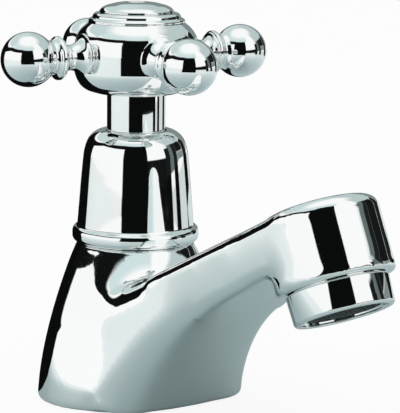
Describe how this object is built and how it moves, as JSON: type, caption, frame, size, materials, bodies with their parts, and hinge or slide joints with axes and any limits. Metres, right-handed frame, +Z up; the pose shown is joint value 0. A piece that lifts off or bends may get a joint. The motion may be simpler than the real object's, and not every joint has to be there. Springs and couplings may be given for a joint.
{
  "type": "cross handle tap",
  "caption": "Chromed pillar tap for a bath or basin: a ball-ended cross handle over a bell cover, an angled spout with a round aerator nose, and an oval foot on a threaded tail.",
  "frame": {"origin": "on the axis of the tail, at the plane of the deck that the tap stands on", "axes": "+Z up the valve's axis, +X towards the outlet, +Y to the left seen from behind the tap"},
  "size_m": [0.1457, 0.0804, 0.1602],
  "materials": {
    "chromed_brass": "polished",
    "plain_brass": "satin",
    "black_rubber": "matte",
    "foam": "matte",
    "fibre": "matte",
    "packing": "matte",
    "steel": "satin",
    "white_plastic": "satin",
    "badge": "gloss"
  },
  "bodies": {
    "tap": {"tap_body": "chromed_brass", "inlet_tail": "plain_brass", "base_gasket": "foam", "rubber_washer": "black_rubber", "fixing_washer": "plain_brass", "back_nut": "plain_brass", "headwork_body": "plain_brass", "headwork_washer": "fibre", "gland_packing": "packing", "gland_nut": "plain_brass", "bell_carrier": "plain_brass", "bell_cover": "chromed_brass", "aerator_housing": "chromed_brass", "aerator_mesh": "steel", "aerator_cartridge": "white_plastic", "aerator_seal": "black_rubber"},
    "valve": {"valve_plate": "plain_brass", "seat_washer": "black_rubber", "valve_nut": "plain_brass"},
    "handle": {"spindle": "plain_brass", "spindle_seals": "black_rubber", "handle_hub": "chromed_brass", "spline_bush": "plain_brass", "handle_sleeve": "chromed_brass", "handle_arm_front": "chromed_brass", "handle_arm_right": "chromed_brass", "handle_arm_back": "chromed_brass", "handle_arm_left": "chromed_brass", "handle_screw": "steel", "index_cap": "chromed_brass", "index_disc": "badge", "cap_seal": "black_rubber"}
  },
  "joints": [
    {"name": "valve_lift", "type": "slide", "parent": "tap", "child": "valve", "axis": [0, 0, 1], "range_m": [0, 0.00563]},
    {"name": "handle_turn", "type": "hinge", "parent": "valve", "child": "handle", "pos_m": [0, 0, 0], "axis": [0, 0, 1], "range_deg": [0, 810]}
  ],
  "couplings": [
    {"joint": "valve_lift", "follows": "handle_turn", "m_per_rad": 0.00039789}
  ]
}
